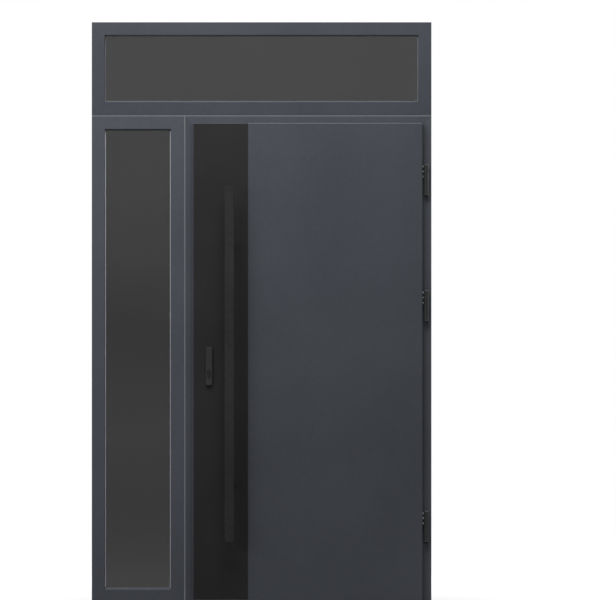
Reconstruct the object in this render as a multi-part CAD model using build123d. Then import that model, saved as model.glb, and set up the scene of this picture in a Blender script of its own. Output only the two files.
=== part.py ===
from build123d import *
import os

# An aluminium exterior door that opens outwards, with a glazed sidelight on its left and a glazed
# transom over both. Millimetres. X runs to the right as seen from outside, Y into the house and
# Z up. The origin is on the underside of the sill, mid width of the whole unit, mid frame depth.

# Overall sizes of the three coupled units
DOOR_FRAME_WIDTH = 1054
DOOR_FRAME_HEIGHT = 2082
SIDELIGHT_WIDTH = 395
TRANSOM_HEIGHT = 397
FRAME_DEPTH = 90
COUPLING_WIDTH = 6
COUPLING_RECESS = 1.5

# Extruded profiles: wall, insulating bars between the outer and inner shell, outer edge
WALL = 3
BREAK_DEPTH = 24
EDGE_CHAMFER = 1

# Fixed glazed frames and their sealed double glazing
GLAZED_FACE = 57
GLAZED_BEVEL = 3
SILL_SLOPE = 10
GLAZING_LIP = 12
GLAZING_REBATE = 42
GASKET_THICKNESS = 4
GASKET_WIDTH = 10
GASKET_SIGHT = 3
PANE_THICKNESS = 4
PANE_CAVITY = 16
PANE_EDGE_GAP = 4
SPACER_INSET = 3
SPACER_WIDTH = 8
BEAD_WALL = 2
BEAD_CHAMFER = 2
BEAD_END_GAP = 0.3

# Door frame: jambs and head with a rebate for the leaf
DOOR_FACE = 49
DOOR_STOP = 69
REBATE_DEPTH = 49
REBATE_WALL = 6
THRESHOLD_HEIGHT = 20
THRESHOLD_GROOVE_WIDTH = 3
THRESHOLD_GROOVE_DEPTH = 1.5
THRESHOLD_GROOVE_PITCH = 8
THRESHOLD_GROOVES = 9

# Door leaf: a lip that laps over the frame's face, and a body inside the rebate
REVEAL_LATCH = 31
REVEAL_HINGE = 38
REVEAL_HEAD = 28.5
LIP_BOTTOM = 9
LIP_THICKNESS = 20
FACE_GAP = 5
EDGE_GAP = 5
LATCH_EDGE_GAP = 8
LEAF_BACK_GAP = 5
LEAF_STILE = 90
EDGE_WALL = 6
FACE_PANEL = 5
FACE_RADIUS = 3
STRIP_WIDTH = 232
STRIP_THICKNESS = 3
STRIP_MARGIN = 3.5
INNER_PANEL = 3
INNER_PANEL_MARGIN = 2

# Rubber seals
SEAL_WIDTH = 5
SEAL_GROOVE = 1.5
SEAL_CLEARANCE = 1
SEAL_CHAMFER = 1.2
FRAME_SEAL_INSET = 5
LEAF_SEAL_INSET = 42
SILL_SEAL_DROP = 1

# Pull bar
PULL_WIDTH = 40
PULL_THICKNESS = 20
PULL_LENGTH = 1520
PULL_BOTTOM = 260
PULL_FROM_EDGE = 158
PULL_GRIP = 55
PULL_CHAMFER = 1.5
POST_DIAMETER = 25
POST_FROM_END = 250

# Lock: euro profile cylinder, plates, inside lever
LOCK_FROM_EDGE = 70.6
CYLINDER_HEIGHT = 986.6
CYLINDER_HEAD = 17
CYLINDER_STEM = 10
CYLINDER_PROFILE = 33
CYLINDER_PROUD = 3
CYLINDER_CLEARANCE = 0.4
PLUG_DIAMETER = 13
PLUG_DEPTH = 8
PLUG_CLEARANCE = 0.2
KEYWAY_WIDTH = 2.4
KEYWAY_HEIGHT = 8.5
KEYWAY_DEPTH = 5
ESCUTCHEON_WIDTH = 27.4
ESCUTCHEON_HEIGHT = 164
ESCUTCHEON_BOTTOM = 929.6
ESCUTCHEON_THICKNESS = 10
ESCUTCHEON_RADIUS = 4
PLATE_EDGE_CHAMFER = 1.5
BACKPLATE_WIDTH = 40
BACKPLATE_HEIGHT = 240
BACKPLATE_THICKNESS = 8
LEVER_ABOVE_CYLINDER = 92
LEVER_DEPTH = 20
LEVER_THICKNESS = 10
LEVER_EDGE = 1.5
LEVER_NECK = 50
LEVER_LENGTH = 130
LEVER_BEND = 12

# Multipoint lock edge, its strikes, and the fixed dog bolts of the hinge edge
LOCK_LINE = 20
FACEPLATE_WIDTH = 22
FACEPLATE_LENGTH = 1750
FACEPLATE_BOTTOM = 160
FACEPLATE_THICKNESS = 3
BOLT_WIDTH = 12
BOLT_HEIGHT = 44
BOLT_DEPTH = 30
BOLT_PROUD = 0.8
BOLT_CLEARANCE = 0.5
BOLT_HEIGHTS = (330, 935, 1078, 1720)
STRIKE_WIDTH = 26
STRIKE_THICKNESS = 3
STRIKE_MARGIN = 30
STRIKE_SLOT_MARGIN = 5
DOG_DIAMETER = 12
DOG_PROJECTION = 10
DOG_SEAT = 8
DOG_CLEARANCE = 0.2
DOG_KEEP_DIAMETER = 24
DOG_HEIGHTS = (560, 1040, 1600)

# Barrel hinges: the upper half is studded into the leaf, the lower half into the frame
HINGE_FROM_EDGE = 22.3
HINGE_STANDOFF = 15
HINGE_CENTRES = (326, 1271, 1811)
HINGE_LENGTH = 133
HINGE_RADIUS = 9
HINGE_CAP = 7
HINGE_GAP = 0.8
HINGE_END_CHAMFER = 2.5
PIN_RADIUS = 5
PIN_CLEARANCE = 0.2
STUD_DIAMETER = 7
STUD_PITCH = 21.6
STUD_FROM_END = 10.7
STUD_GRIP = 14
STUD_CLEARANCE = 0.2
LEAF_STUDS = 3
FRAME_STUDS = 2
FRAME_STUD_PITCH = 36

# Anchor holes to the wall
ANCHOR_DIAMETER = 10
ANCHOR_DEPTH = 20
ANCHOR_SPACINGS = (1660, 560)
HEAD_ANCHOR_SPACING = 1000

# Places that follow from the sizes
UNIT_WIDTH = SIDELIGHT_WIDTH + COUPLING_WIDTH + DOOR_FRAME_WIDTH
UNIT_HEIGHT = DOOR_FRAME_HEIGHT + COUPLING_WIDTH + TRANSOM_HEIGHT
LEFT = -UNIT_WIDTH / 2
RIGHT = UNIT_WIDTH / 2
FRONT = -FRAME_DEPTH / 2
BACK = FRAME_DEPTH / 2
SIDELIGHT_RIGHT = LEFT + SIDELIGHT_WIDTH
DOOR_LEFT = RIGHT - DOOR_FRAME_WIDTH
DOOR_TOP = DOOR_FRAME_HEIGHT
TRANSOM_BOTTOM = DOOR_TOP + COUPLING_WIDTH

LIP_LEFT = DOOR_LEFT + REVEAL_LATCH
LIP_RIGHT = RIGHT - REVEAL_HINGE
LIP_TOP = DOOR_TOP - REVEAL_HEAD
LEAF_FRONT = FRONT - FACE_GAP - LIP_THICKNESS
LIP_BACK = FRONT - FACE_GAP
LEAF_BACK = FRONT + REBATE_DEPTH - LEAF_BACK_GAP
LEAF_DEPTH = LEAF_BACK - LEAF_FRONT
BODY_LEFT = DOOR_LEFT + DOOR_FACE + LATCH_EDGE_GAP
BODY_RIGHT = RIGHT - DOOR_FACE - EDGE_GAP
BODY_TOP = DOOR_TOP - DOOR_FACE - EDGE_GAP
BODY_BOTTOM = THRESHOLD_HEIGHT + EDGE_GAP
LOCK_X = LIP_LEFT + LOCK_FROM_EDGE
LOCK_Y = FRONT + LOCK_LINE
LEVER_HEIGHT = CYLINDER_HEIGHT + LEVER_ABOVE_CYLINDER
PULL_X = LIP_LEFT + PULL_FROM_EDGE
HINGE_X = RIGHT - HINGE_FROM_EDGE
HINGE_Y = FRONT - HINGE_STANDOFF
ANCHOR_Y = FRONT + ANCHOR_DEPTH
THROUGH = 2 * FRAME_DEPTH

MEMBER_NAMES = {"left": "left_stile", "top": "head_rail", "right": "right_stile", "bottom": "bottom_rail"}


def block(x0, x1, y0, y1, z0, z1):
    """A plain block between two corners."""
    centre = Pos((x0 + x1) / 2, (y0 + y1) / 2, (z0 + z1) / 2)
    return centre * Box(x1 - x0, y1 - y0, z1 - z0)


def ring(left, right, bottom, top, width, y0, y1):
    """A flat rectangular ring that faces the front, as wide as given inside its outline."""
    outer = block(left, right, y0, y1, bottom, top)
    return outer - block(left + width, right - width, y0, y1, bottom + width, top - width)


def rod(start, direction, length, diameter):
    """A round rod from a start point along a direction."""
    return extrude(Plane(start, z_dir=direction) * Circle(diameter / 2), amount=length)


def upright_rod(x, y, z0, z1, radius):
    """A round rod that stands on z0."""
    return extrude(Plane((x, y, z0)) * Circle(radius), amount=z1 - z0)


def sides_of(left, right, bottom, top, front):
    """Start corner, inward direction and length of each side of a frame, going round it."""
    return {
        "left": (Vector(left, front, bottom), Vector(1, 0, 0), top - bottom),
        "top": (Vector(left, front, top), Vector(0, 0, -1), right - left),
        "right": (Vector(right, front, top), Vector(-1, 0, 0), top - bottom),
        "bottom": (Vector(right, front, bottom), Vector(0, 0, 1), right - left),
    }


def member(section, corner, inward, length, reach, overhang=0, mitres=(1, 1), end_gap=0, rise=0):
    """A straight profile along one side of a frame, mitred through the frame's corners.

    What rises past the mitre's reach is cut off square, to butt against the neighbours.
    """
    along = inward.cross(Vector(0, 1, 0))
    bar_plane = Plane(corner - along * overhang, x_dir=inward, z_dir=along)
    bar = extrude(bar_plane * section, amount=length + 2 * overhang)
    start, end = mitres
    near, far = end_gap + reach * start, length - end_gap - reach * end
    wedge = Polygon(
        (-overhang, end_gap - overhang * start),
        (-overhang, length - end_gap + overhang * end),
        (reach, far),
        (reach, near),
        align=None,
    )
    if rise:
        wedge += flat_rectangle(reach, reach + rise, near, far)
    wedge_plane = Plane(corner, x_dir=inward, z_dir=Vector(0, -1, 0))
    return bar & extrude(wedge_plane * wedge, amount=THROUGH, both=True)


def flat_rectangle(u0, u1, v0, v1):
    """A rectangle of a profile's section: u across the profile, v into its depth."""
    return Pos((u0 + u1) / 2, (v0 + v1) / 2) * Rectangle(u1 - u0, v1 - v0)


def chambers(u0, u1, v0, v1):
    """The hollows of a profile: outer shell, insulating bars and inner shell, a wall apart."""
    middle = (v0 + v1) / 2
    break_start = middle - BREAK_DEPTH / 2
    break_end = middle + BREAK_DEPTH / 2
    outer = flat_rectangle(u0, u1, v0, break_start)
    between = flat_rectangle(u0, u1, break_start + WALL, break_end - WALL)
    inner = flat_rectangle(u0, u1, break_end, v1)
    return outer + between + inner


def glazed_section(bevel):
    """Profile of the fixed glazed frames: sight edge bevelled as given, lip in front of the glass."""
    flat = GLAZED_FACE - GLAZED_BEVEL
    outline = Polygon(
        (EDGE_CHAMFER, 0),
        (flat, 0),
        (flat + bevel, bevel),
        (flat + bevel, GLAZING_LIP),
        (GLAZING_REBATE, GLAZING_LIP),
        (GLAZING_REBATE, FRAME_DEPTH),
        (0, FRAME_DEPTH),
        (0, EDGE_CHAMFER),
        align=None,
    )
    return outline - chambers(WALL, GLAZING_REBATE - WALL, WALL, FRAME_DEPTH - WALL)


def bead_section(front):
    """Hollow inside bead that clamps the glass, flush with the frame's back."""
    sight = GLAZED_FACE + GASKET_SIGHT
    outline = Polygon(
        (GLAZING_REBATE, front),
        (sight, front),
        (sight, FRAME_DEPTH - BEAD_CHAMFER),
        (sight - BEAD_CHAMFER, FRAME_DEPTH),
        (GLAZING_REBATE, FRAME_DEPTH),
        align=None,
    )
    hollow = flat_rectangle(
        GLAZING_REBATE + BEAD_WALL, sight - BEAD_WALL, front + BEAD_WALL, FRAME_DEPTH - 2 * BEAD_WALL
    )
    return outline - hollow


def glazed_unit(name, left, right, bottom, top, sill_bevel):
    """A fixed light: mitred frame, sealed double glazing between gaskets, and inside beads."""
    places = sides_of(left, right, bottom, top, FRONT)
    unit = {}
    for side, place in places.items():
        bevel = sill_bevel if side == "bottom" else GLAZED_BEVEL
        bar = member(glazed_section(bevel), *place, GLAZED_FACE, rise=bevel - GLAZED_BEVEL)
        unit[f"{name}_{MEMBER_NAMES[side]}"] = bar

    def inset(distance):
        return left + distance, right - distance, bottom + distance, top - distance

    sight = GLAZED_FACE + GASKET_SIGHT
    outer_gasket = FRONT + GLAZING_LIP
    outer_pane = outer_gasket + GASKET_THICKNESS
    cavity = outer_pane + PANE_THICKNESS
    inner_pane = cavity + PANE_CAVITY
    inner_gasket = inner_pane + PANE_THICKNESS
    bead_front = inner_gasket + GASKET_THICKNESS

    def pane(front):
        x0, x1, z0, z1 = inset(GLAZING_REBATE + PANE_EDGE_GAP)
        return block(x0, x1, front, front + PANE_THICKNESS, z0, z1)

    def gasket(front):
        outline = inset(sight - GASKET_WIDTH)
        return ring(*outline, GASKET_WIDTH, front, front + GASKET_THICKNESS)

    spacer_outline = inset(GLAZING_REBATE + PANE_EDGE_GAP + SPACER_INSET)
    unit[f"{name}_glass"] = Compound(children=[pane(outer_pane), pane(inner_pane)])
    unit[f"{name}_spacer"] = ring(*spacer_outline, SPACER_WIDTH, cavity, inner_pane)
    unit[f"{name}_gaskets"] = Compound(children=[gasket(outer_gasket), gasket(inner_gasket)])
    section = bead_section(bead_front - FRONT)
    beads = [member(section, *place, sight, end_gap=BEAD_END_GAP) for place in places.values()]
    unit[f"{name}_beads"] = Compound(children=beads)
    return unit


def coupling_strips():
    """Bare aluminium strips between the coupled frames, set a little behind their faces."""
    y0 = FRONT + COUPLING_RECESS
    y1 = BACK - COUPLING_RECESS
    return {
        "coupling_strip_horizontal": block(LEFT, RIGHT, y0, y1, DOOR_TOP, TRANSOM_BOTTOM),
        "coupling_strip_vertical": block(SIDELIGHT_RIGHT, DOOR_LEFT, y0, y1, 0, DOOR_TOP),
    }


def door_frame_section():
    """Profile of jambs and head: flat face, rebate for the leaf, stop behind it."""
    outline = Polygon(
        (EDGE_CHAMFER, 0),
        (DOOR_FACE - EDGE_CHAMFER, 0),
        (DOOR_FACE, EDGE_CHAMFER),
        (DOOR_FACE, REBATE_DEPTH),
        (DOOR_STOP, REBATE_DEPTH),
        (DOOR_STOP, FRAME_DEPTH),
        (0, FRAME_DEPTH),
        (0, EDGE_CHAMFER),
        align=None,
    )
    stop_hollow = flat_rectangle(
        DOOR_FACE, DOOR_STOP - WALL, REBATE_DEPTH + REBATE_WALL, FRAME_DEPTH - WALL
    )
    return outline - chambers(WALL, DOOR_FACE - REBATE_WALL, WALL, FRAME_DEPTH - WALL) - stop_hollow


def frame_seal():
    """Rubber seal round three sides of the stop, in front of the leaf's back."""
    inset = DOOR_STOP - FRAME_SEAL_INSET - SEAL_WIDTH
    stop_face = FRONT + REBATE_DEPTH
    y0 = LEAF_BACK + SEAL_CLEARANCE
    y1 = stop_face + SEAL_GROOVE
    x0, x1 = DOOR_LEFT + inset, RIGHT - inset
    z0, z1 = THRESHOLD_HEIGHT, DOOR_TOP - inset
    outer = block(x0, x1, y0, y1, z0, z1)
    strip = outer - block(x0 + SEAL_WIDTH, x1 - SEAL_WIDTH, y0, y1, z0, z1 - SEAL_WIDTH)
    return chamfer(strip.faces().sort_by(Axis.Y)[0].edges(), SEAL_CHAMFER)


def leaf_seal():
    """Rubber seal on the back of the leaf's lip, all the way round."""
    y0 = LIP_BACK - SEAL_GROOVE
    y1 = FRONT - SEAL_CLEARANCE
    bottom = THRESHOLD_HEIGHT - SILL_SEAL_DROP - SEAL_WIDTH
    left, right = DOOR_LEFT + LEAF_SEAL_INSET, RIGHT - LEAF_SEAL_INSET
    strip = ring(left, right, bottom, DOOR_TOP - LEAF_SEAL_INSET, SEAL_WIDTH, y0, y1)
    return chamfer(strip.faces().sort_by(Axis.Y)[-1].edges(), SEAL_CHAMFER)


def threshold():
    """Low aluminium sill between the jambs, grooved on top against slipping."""
    section = flat_rectangle(FRONT, BACK, 0, THRESHOLD_HEIGHT)
    roof = THRESHOLD_HEIGHT - WALL - THRESHOLD_GROOVE_DEPTH
    section -= flat_rectangle(FRONT + WALL, BACK - WALL, WALL, roof)
    grooves = GridLocations(THRESHOLD_GROOVE_PITCH, 0, THRESHOLD_GROOVES, 1)
    groove = Rectangle(THRESHOLD_GROOVE_WIDTH, 2 * THRESHOLD_GROOVE_DEPTH)
    section -= Pos(0, THRESHOLD_HEIGHT) * grooves * groove
    x0, x1 = DOOR_LEFT + DOOR_FACE, RIGHT - DOOR_FACE
    sill = extrude(Plane.YZ.offset(x0) * section, amount=x1 - x0)
    stop = DOOR_STOP - DOOR_FACE
    stop_face = FRONT + REBATE_DEPTH
    for near, far in ((x0, x0 + stop), (x1 - stop, x1)):
        sill -= block(near, far, stop_face, BACK, 0, THRESHOLD_HEIGHT)
    return sill


def strike_plates():
    """Steel strikes let into the latch jamb, each with a slot for the bolts it keeps."""
    face = DOOR_LEFT + DOOR_FACE
    half = STRIKE_WIDTH / 2
    low, latch_low, latch_high, high = BOLT_HEIGHTS
    reach = BOLT_HEIGHT / 2 + STRIKE_MARGIN
    blanks = [
        block(face - STRIKE_THICKNESS, face, LOCK_Y - half, LOCK_Y + half, z0 - reach, z1 + reach)
        for z0, z1 in ((low, low), (latch_low, latch_high), (high, high))
    ]
    half_slot = BOLT_WIDTH / 2 + STRIKE_SLOT_MARGIN
    slot_reach = BOLT_HEIGHT / 2 + STRIKE_SLOT_MARGIN
    slot_front, slot_back = LOCK_Y - half_slot, LOCK_Y + half_slot
    slots = [
        block(face - REBATE_WALL, face, slot_front, slot_back, z - slot_reach, z + slot_reach)
        for z in BOLT_HEIGHTS
    ]
    return blanks, slots


def anchor_holes(x, z_centre):
    """Through holes for frame anchors, two pairs on one upright, across the profile."""
    start = Vector(x - THROUGH / 2, ANCHOR_Y, 0)
    heights = [z_centre + sign * spacing / 2 for spacing in ANCHOR_SPACINGS for sign in (-1, 1)]
    return [rod(start + Vector(0, 0, z), (1, 0, 0), THROUGH, ANCHOR_DIAMETER) for z in heights]


def hinge_studs(clearance=0):
    """Studs of every hinge: those into the leaf's lip, then those into the hinge jamb."""
    diameter = STUD_DIAMETER + 2 * clearance
    wall_start = (PIN_RADIUS + PIN_CLEARANCE + HINGE_RADIUS) / 2
    leaf_length = HINGE_X - LIP_RIGHT - wall_start + STUD_GRIP
    frame_length = HINGE_STANDOFF - wall_start + STUD_GRIP
    leaf_studs, frame_studs = [], []
    for centre in HINGE_CENTRES:
        end = HINGE_LENGTH / 2 - STUD_FROM_END
        for index in range(LEAF_STUDS):
            start = (HINGE_X - wall_start, HINGE_Y, centre + end - index * STUD_PITCH)
            leaf_studs.append(rod(start, (-1, 0, 0), leaf_length + clearance, diameter))
        for index in range(FRAME_STUDS):
            start = (HINGE_X, HINGE_Y + wall_start, centre - end + index * FRAME_STUD_PITCH)
            frame_studs.append(rod(start, (0, 1, 0), frame_length + clearance, diameter))
    return leaf_studs, frame_studs


def door_frame():
    """Two jambs mitred to a head, a threshold between them, strikes and seal."""
    seal = frame_seal()
    sides = sides_of(DOOR_LEFT, RIGHT, 0, DOOR_TOP, FRONT)
    latch = member(door_frame_section(), *sides["left"], DOOR_STOP, mitres=(0, 1)) - seal
    hinge = member(door_frame_section(), *sides["right"], DOOR_STOP, mitres=(1, 0)) - seal
    head = member(door_frame_section(), *sides["top"], DOOR_STOP) - seal
    blanks, slots = strike_plates()
    latch = latch - blanks - slots
    plates = [(blank - slots).solid() for blank in blanks]
    keep_start = RIGHT - DOOR_FACE
    keeps = [
        rod((keep_start, LOCK_Y, z), (1, 0, 0), REBATE_WALL, DOG_KEEP_DIAMETER) for z in DOG_HEIGHTS
    ]
    frame_stud_holes = hinge_studs(STUD_CLEARANCE)[1]
    hinge = hinge - keeps - frame_stud_holes - anchor_holes(RIGHT, DOOR_TOP / 2)
    return {
        "door_frame_latch_jamb": latch,
        "door_frame_hinge_jamb": hinge,
        "door_frame_head": head,
        "threshold": threshold(),
        "frame_seal": seal,
        "strike_plates": Compound(children=plates),
    }


def euro_profile(clearance=0):
    """Outline of a profile cylinder: round head, narrow stem with a round foot."""
    head = Circle(CYLINDER_HEAD / 2 + clearance)
    stem_bottom = CYLINDER_HEAD / 2 - CYLINDER_PROFILE
    foot_centre = stem_bottom + CYLINDER_STEM / 2
    foot = Pos(0, foot_centre) * Circle(CYLINDER_STEM / 2 + clearance)
    half = CYLINDER_STEM / 2 + clearance
    return head + flat_rectangle(-half, half, foot_centre, 0) + foot


def cylinder_run(y0, y1, sketch):
    """A solid of the given outline through the leaf at the lock, from y0 to y1."""
    plane = Plane((LOCK_X, y0, CYLINDER_HEIGHT), x_dir=(-1, 0, 0), z_dir=(0, 1, 0))
    return extrude(plane * sketch, amount=y1 - y0)


def leaf_section(lip):
    """Profile of the leaf's own frame: lip over the door frame, hollow body in the rebate."""
    body_depth = LEAF_DEPTH - INNER_PANEL
    outline = Polygon(
        (-lip, FACE_PANEL),
        (LEAF_STILE, FACE_PANEL),
        (LEAF_STILE, body_depth),
        (0, body_depth),
        (0, LIP_THICKNESS),
        (-lip, LIP_THICKNESS),
        align=None,
    )
    return outline - chambers(EDGE_WALL, LEAF_STILE - WALL, FACE_PANEL + WALL, body_depth - WALL)


def lock_bolts(clearance=0):
    """Bolts of the multipoint lock, drawn back until they stand just proud of the faceplate."""
    half_width = BOLT_WIDTH / 2 + clearance
    half_height = BOLT_HEIGHT / 2 + clearance
    x0, x1 = BODY_LEFT - BOLT_PROUD, BODY_LEFT + BOLT_DEPTH
    return [
        block(x0, x1, LOCK_Y - half_width, LOCK_Y + half_width, z - half_height, z + half_height)
        for z in BOLT_HEIGHTS
    ]


def dog_bolts(clearance=0):
    """Fixed pins on the hinge edge that stand in keeps of the jamb while the leaf is shut."""
    start = BODY_RIGHT - DOG_SEAT
    length = DOG_SEAT + DOG_PROJECTION
    diameter = DOG_DIAMETER + 2 * clearance
    return [rod((start, LOCK_Y, z), (1, 0, 0), length, diameter) for z in DOG_HEIGHTS]


def leaf():
    """The door leaf: mitred profiles, insulated core, face and inside sheets, black strip."""
    bore = cylinder_run(LEAF_FRONT - THROUGH, LEAF_BACK + THROUGH, euro_profile(CYLINDER_CLEARANCE))
    seal = leaf_seal()
    lips = {
        "left": BODY_LEFT - LIP_LEFT,
        "right": LIP_RIGHT - BODY_RIGHT,
        "top": LIP_TOP - BODY_TOP,
        "bottom": BODY_BOTTOM - LIP_BOTTOM,
    }
    overhang = max(lips.values())
    outline = block(LIP_LEFT, LIP_RIGHT, LEAF_FRONT, LEAF_BACK, LIP_BOTTOM, LIP_TOP)
    profiles = {}
    for side, place in sides_of(BODY_LEFT, BODY_RIGHT, BODY_BOTTOM, BODY_TOP, LEAF_FRONT).items():
        bar = member(leaf_section(lips[side]), *place, LEAF_STILE, overhang)
        profiles[side] = (bar & outline) - seal

    faceplate = block(
        BODY_LEFT,
        BODY_LEFT + FACEPLATE_THICKNESS,
        LOCK_Y - FACEPLATE_WIDTH / 2,
        LOCK_Y + FACEPLATE_WIDTH / 2,
        FACEPLATE_BOTTOM,
        FACEPLATE_BOTTOM + FACEPLATE_LENGTH,
    )
    bolt_slots = lock_bolts(BOLT_CLEARANCE)
    lock_stile = profiles["left"] - faceplate - bolt_slots - bore
    hinge_stile = profiles["right"] - hinge_studs(STUD_CLEARANCE)[0] - dog_bolts(DOG_CLEARANCE)

    core_front = LEAF_FRONT + FACE_PANEL
    core_back = LEAF_BACK - INNER_PANEL
    core = block(
        BODY_LEFT + LEAF_STILE,
        BODY_RIGHT - LEAF_STILE,
        core_front,
        core_back,
        BODY_BOTTOM + LEAF_STILE,
        BODY_TOP - LEAF_STILE,
    )
    face = block(LIP_LEFT, LIP_RIGHT, LEAF_FRONT, core_front, LIP_BOTTOM, LIP_TOP)
    face = fillet(face.faces().sort_by(Axis.Y)[0].edges(), FACE_RADIUS)
    strip_left = LIP_LEFT + STRIP_MARGIN
    strip = block(
        strip_left,
        strip_left + STRIP_WIDTH,
        LEAF_FRONT,
        LEAF_FRONT + STRIP_THICKNESS,
        LIP_BOTTOM + STRIP_MARGIN,
        LIP_TOP - STRIP_MARGIN,
    )
    inner = block(
        BODY_LEFT + INNER_PANEL_MARGIN,
        BODY_RIGHT - INNER_PANEL_MARGIN,
        core_back,
        LEAF_BACK,
        BODY_BOTTOM + INNER_PANEL_MARGIN,
        BODY_TOP - INNER_PANEL_MARGIN,
    )
    return {
        "leaf_lock_stile": lock_stile,
        "leaf_hinge_stile": hinge_stile,
        "leaf_top_rail": profiles["top"],
        "leaf_bottom_rail": profiles["bottom"],
        "leaf_core": core,
        "leaf_face_panel": face - strip - bore,
        "leaf_strip_panel": strip - bore,
        "leaf_inner_panel": inner - bore,
        "leaf_seal": seal,
        "lock_faceplate": faceplate - bolt_slots,
        "lock_bolts": Compound(children=lock_bolts()),
        "dog_bolts": Compound(children=dog_bolts()),
    }


def plate(width, height, thickness, x, y_face, z, outwards):
    """A lock plate with rounded corners on a face of the leaf, its front edge softened."""
    plane = Plane((x, y_face, z), x_dir=(1, 0, 0), z_dir=(0, outwards, 0))
    body = extrude(plane * RectangleRounded(width, height, ESCUTCHEON_RADIUS), amount=thickness)
    rim = body.faces().sort_by(Axis.Y)[0 if outwards < 0 else -1].edges()
    return chamfer(rim, PLATE_EDGE_CHAMFER)


def lock_furniture():
    """Cylinder with its two plugs, outside escutcheon, inside backplate and lever."""
    bore = cylinder_run(LEAF_FRONT - THROUGH, LEAF_BACK + THROUGH, euro_profile(CYLINDER_CLEARANCE))
    outside = LEAF_FRONT - ESCUTCHEON_THICKNESS - CYLINDER_PROUD
    inside = LEAF_BACK + BACKPLATE_THICKNESS + CYLINDER_PROUD
    body = cylinder_run(outside, inside, euro_profile())
    plugs = []
    for end, inwards in ((outside, 1), (inside, -1)):
        start = (LOCK_X, end, CYLINDER_HEIGHT)
        body -= rod(start, (0, inwards, 0), PLUG_DEPTH, PLUG_DIAMETER + 2 * PLUG_CLEARANCE)
        keyway_end = end + inwards * KEYWAY_DEPTH
        keyway = block(
            LOCK_X - KEYWAY_WIDTH / 2,
            LOCK_X + KEYWAY_WIDTH / 2,
            min(end, keyway_end),
            max(end, keyway_end),
            CYLINDER_HEIGHT - KEYWAY_HEIGHT / 2,
            CYLINDER_HEIGHT + KEYWAY_HEIGHT / 2,
        )
        plugs.append((rod(start, (0, inwards, 0), PLUG_DEPTH, PLUG_DIAMETER) - keyway).solid())
    escutcheon_z = ESCUTCHEON_BOTTOM + ESCUTCHEON_HEIGHT / 2
    escutcheon = plate(
        ESCUTCHEON_WIDTH, ESCUTCHEON_HEIGHT, ESCUTCHEON_THICKNESS, LOCK_X, LEAF_FRONT, escutcheon_z, -1
    )
    backplate_z = (CYLINDER_HEIGHT + LEVER_HEIGHT) / 2
    backplate = plate(
        BACKPLATE_WIDTH, BACKPLATE_HEIGHT, BACKPLATE_THICKNESS, LOCK_X, LEAF_BACK, backplate_z, 1
    )
    lever_y = LEAF_BACK + BACKPLATE_THICKNESS
    path = FilletPolyline(
        (LOCK_X, lever_y, LEVER_HEIGHT),
        (LOCK_X, lever_y + LEVER_NECK, LEVER_HEIGHT),
        (LOCK_X + LEVER_LENGTH, lever_y + LEVER_NECK, LEVER_HEIGHT),
        radius=LEVER_BEND,
    )
    flat_bar = chamfer(Rectangle(LEVER_THICKNESS, LEVER_DEPTH).vertices(), LEVER_EDGE)
    lever_plane = Plane((LOCK_X, lever_y, LEVER_HEIGHT), x_dir=(1, 0, 0), z_dir=(0, 1, 0))
    lever = sweep(lever_plane * flat_bar, path)
    lever = chamfer(lever.faces().sort_by(Axis.X)[-1].edges(), LEVER_EDGE)
    return {
        "outside_escutcheon": escutcheon - bore,
        "lock_cylinder": body,
        "cylinder_plugs": Compound(children=plugs),
        "inside_backplate": backplate - bore,
        "inside_lever": lever,
    }


def pull_handle():
    """Tall flat pull bar on two round posts."""
    bar_back = LEAF_FRONT - PULL_GRIP
    half = PULL_WIDTH / 2
    pull_top = PULL_BOTTOM + PULL_LENGTH
    bar = block(PULL_X - half, PULL_X + half, bar_back - PULL_THICKNESS, bar_back, PULL_BOTTOM, pull_top)
    heights = (PULL_BOTTOM + POST_FROM_END, pull_top - POST_FROM_END)
    posts = [rod((PULL_X, LEAF_FRONT, z), (0, -1, 0), PULL_GRIP, POST_DIAMETER) for z in heights]
    return {
        "pull_bar": chamfer(bar.edges(), PULL_CHAMFER),
        "pull_posts": Compound(children=posts),
    }


def hinges():
    """Three two-part barrel hinges: leaf half above, frame half below, a pin in both."""
    leaf_studs, frame_studs = hinge_studs()
    leaf_halves, frame_halves, pins = [], [], []
    bore = PIN_RADIUS + PIN_CLEARANCE
    for number, centre in enumerate(HINGE_CENTRES):
        top, bottom = centre + HINGE_LENGTH / 2, centre - HINGE_LENGTH / 2
        upper = upright_rod(HINGE_X, HINGE_Y, centre + HINGE_GAP / 2, top, HINGE_RADIUS)
        upper = chamfer(upper.faces().sort_by(Axis.Z)[-1].edges(), HINGE_END_CHAMFER)
        upper -= upright_rod(HINGE_X, HINGE_Y, centre, top - HINGE_CAP, bore)
        lower = upright_rod(HINGE_X, HINGE_Y, bottom, centre - HINGE_GAP / 2, HINGE_RADIUS)
        lower = chamfer(lower.faces().sort_by(Axis.Z)[0].edges(), HINGE_END_CHAMFER)
        lower -= upright_rod(HINGE_X, HINGE_Y, bottom + HINGE_CAP, centre, bore)
        leaf_own = leaf_studs[number * LEAF_STUDS : (number + 1) * LEAF_STUDS]
        frame_own = frame_studs[number * FRAME_STUDS : (number + 1) * FRAME_STUDS]
        leaf_halves.append((upper + leaf_own).solid())
        frame_halves.append((lower + frame_own).solid())
        pin_top = top - HINGE_CAP - PIN_CLEARANCE
        pins.append(upright_rod(HINGE_X, HINGE_Y, bottom + HINGE_CAP, pin_top, PIN_RADIUS))
    return {
        "hinge_leaf_halves": Compound(children=leaf_halves),
        "hinge_frame_halves": Compound(children=frame_halves),
        "hinge_pins": Compound(children=pins),
    }


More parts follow.
